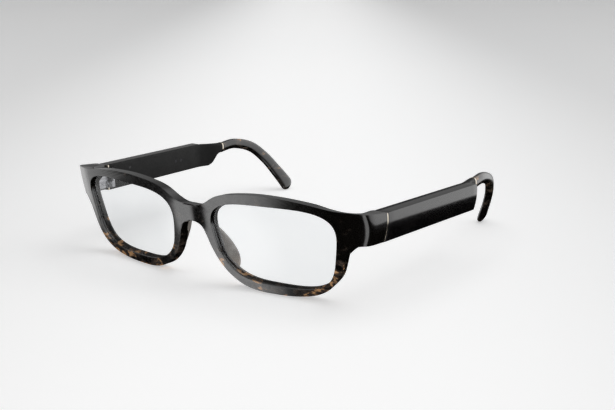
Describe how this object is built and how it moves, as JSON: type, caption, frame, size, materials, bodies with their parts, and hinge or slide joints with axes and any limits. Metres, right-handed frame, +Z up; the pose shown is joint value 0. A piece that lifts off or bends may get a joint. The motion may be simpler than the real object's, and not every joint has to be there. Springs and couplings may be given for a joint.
{
  "type": "smart glasses",
  "caption": "Smart glasses with a full-rim front, clear lenses, deep temple housings for open-ear audio, folding hinges, curved ear tips and controls under one temple.",
  "frame": {"origin": "on the surface the open glasses stand on, under the middle of their overall box", "axes": "+X to the wearer's left, +Y back towards the ears, +Z up; the glasses stand on their lower rims and tip ends"},
  "size_m": [0.159, 0.1533, 0.0407],
  "materials": {
    "acetate": "polished dark tortoise with amber patches",
    "lens": "clear, polished",
    "pad": "polished, smoky",
    "tip_acetate": "polished dark tortoise",
    "shell_gloss": "high gloss black",
    "cover_satin": "satin black",
    "button": "satin black",
    "trim_metal": "champagne, polished",
    "hinge_steel": "satin",
    "screw_steel": "bright",
    "wire_steel": "drawn",
    "battery_foil": "foil pouch",
    "board": "solder mask",
    "can_metal": "tinned",
    "speaker": "moulded",
    "mesh_steel": "woven mesh",
    "flex": "amber film",
    "gold": "gold plated",
    "contact_black": "black nickel plated",
    "light_window": "smoked"
  },
  "bodies": {
    "front": {"front_frame": "acetate", "lens_left": "lens", "lens_right": "lens", "nose_pad_left": "pad", "nose_pad_right": "pad", "trim_plate_left": "trim_metal", "trim_plate_right": "trim_metal", "hinge_front_left": "hinge_steel", "hinge_front_right": "hinge_steel", "hinge_pin_left": "screw_steel", "hinge_pin_right": "screw_steel", "front_leaf_screws": "screw_steel"},
    "temple_left": {"temple_shell_left": "shell_gloss", "temple_cover_left": "cover_satin", "hinge_rear_left": "hinge_steel", "rear_leaf_screws_left": "screw_steel", "end_ring_left": "trim_metal", "ear_tip_left": "tip_acetate", "core_wire_left": "wire_steel", "battery_left": "battery_foil", "circuit_board_left": "board", "shield_can_left": "can_metal", "speaker_front_left": "speaker", "speaker_rear_left": "speaker", "speaker_mesh_left": "mesh_steel", "flex_cable_left": "flex", "microphone_left": "gold", "charge_contacts_left": "contact_black"},
    "temple_right": {"temple_shell_right": "shell_gloss", "temple_cover_right": "cover_satin", "hinge_rear_right": "hinge_steel", "rear_leaf_screws_right": "screw_steel", "end_ring_right": "trim_metal", "ear_tip_right": "tip_acetate", "core_wire_right": "wire_steel", "battery_right": "battery_foil", "circuit_board_right": "board", "shield_can_right": "can_metal", "speaker_front_right": "speaker", "speaker_rear_right": "speaker", "speaker_mesh_right": "mesh_steel", "flex_cable_right": "flex", "microphone_right": "gold", "charge_contacts_right": "contact_black", "switch_board_right": "board", "light_pipe_right": "light_window"},
    "action_button": {"action_button": "button"},
    "volume_rocker": {"volume_rocker": "button"}
  },
  "joints": [
    {"name": "fold_left", "type": "hinge", "parent": "front", "child": "temple_left", "pos_m": [0.0676, -0.05019, 0.0294], "axis": [0, 0, 1], "range_deg": [0, 88.5]},
    {"name": "fold_right", "type": "hinge", "parent": "front", "child": "temple_right", "pos_m": [-0.0676, -0.05019, 0.0294], "axis": [0, 0, -1], "range_deg": [0, 81]},
    {"name": "action_press", "type": "slide", "parent": "temple_right", "child": "action_button", "axis": [-0.0022, 0.0355, 0.9994], "range_m": [0, 0.0003], "stiffness_N_per_m": 1000, "springref_m": -0.0005},
    {"name": "volume_tilt", "type": "hinge", "parent": "temple_right", "child": "volume_rocker", "pos_m": [-0.07409, -0.02218, 0.02312], "axis": [-0.9981, -0.0623, 0], "range_deg": [-2.5, 2.5], "stiffness_Nm_per_rad": 0.05}
  ]
}
